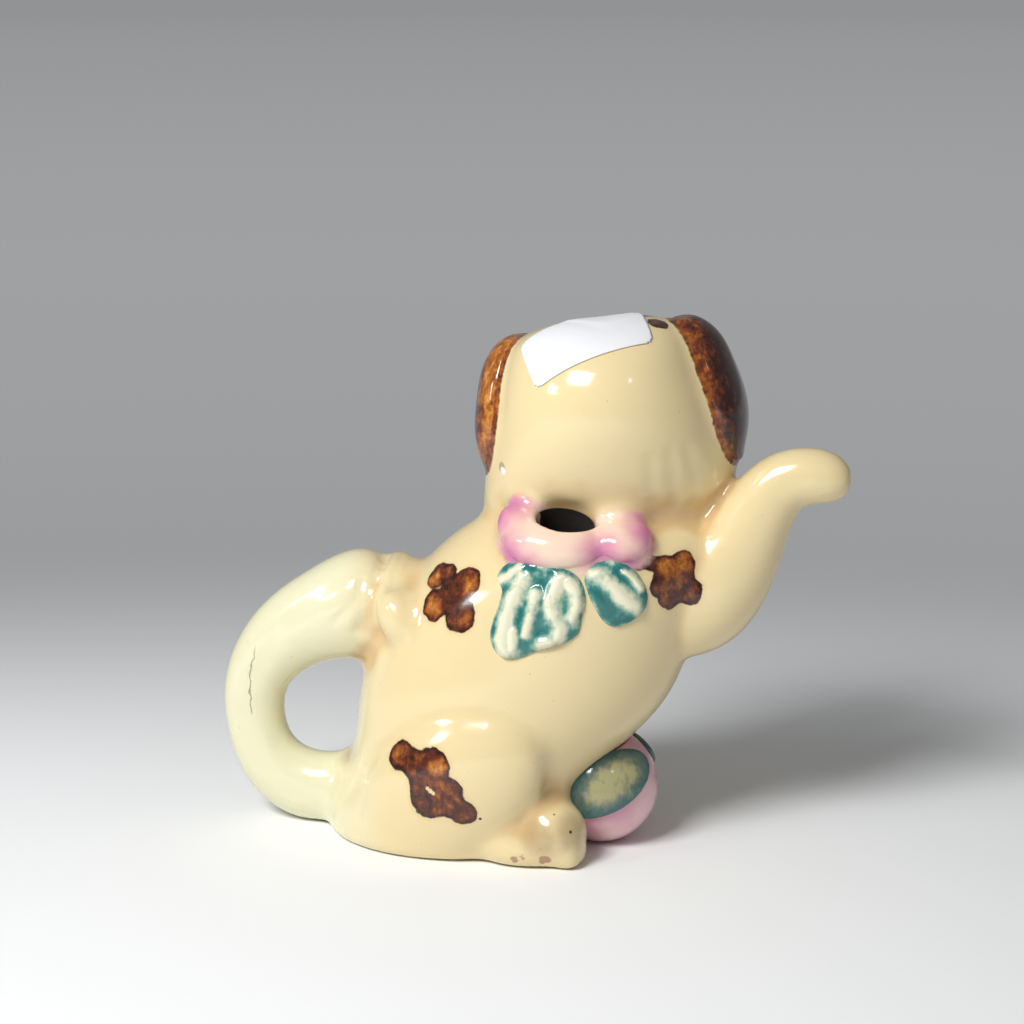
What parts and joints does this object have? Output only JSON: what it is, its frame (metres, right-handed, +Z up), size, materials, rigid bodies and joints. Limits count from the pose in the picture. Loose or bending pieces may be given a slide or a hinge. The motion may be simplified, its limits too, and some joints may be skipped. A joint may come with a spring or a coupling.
{
  "type": "figural planter",
  "caption": "Small glazed earthenware planter shaped as a seated puppy with a raised paw, a tail loop handle, a ball and a flower round an oval mouth.",
  "frame": {"origin": "middle of the torso's flat foot, on the surface the planter stands on", "axes": "+X along the body towards the raised paw, +Y the way the face looks, +Z up"},
  "size_m": [0.1684, 0.0719, 0.1405],
  "materials": {
    "cream_glaze": "gloss",
    "brown_glaze": "gloss",
    "black_glaze": "gloss",
    "pink_glaze": "gloss",
    "teal_glaze": "gloss"
  },
  "bodies": {
    "root": {"torso_shell": "cream_glaze", "head_shell": "cream_glaze", "muzzle": "cream_glaze", "nose": "black_glaze", "left_eye": "black_glaze", "right_eye": "black_glaze", "left_ear": "brown_glaze", "right_ear": "brown_glaze", "tail_handle": "cream_glaze", "tail_tuft": "cream_glaze", "raised_foreleg": "cream_glaze", "standing_foreleg": "cream_glaze", "near_haunch": "cream_glaze", "far_haunch": "cream_glaze", "near_hind_foot": "cream_glaze", "far_hind_foot": "cream_glaze", "ball": "pink_glaze", "near_ball_panel": "teal_glaze", "far_ball_panel": "teal_glaze", "left_petal": "pink_glaze", "right_petal": "pink_glaze", "middle_petal": "pink_glaze", "large_leaf": "teal_glaze", "small_leaf": "teal_glaze"}
  },
  "joints": []
}
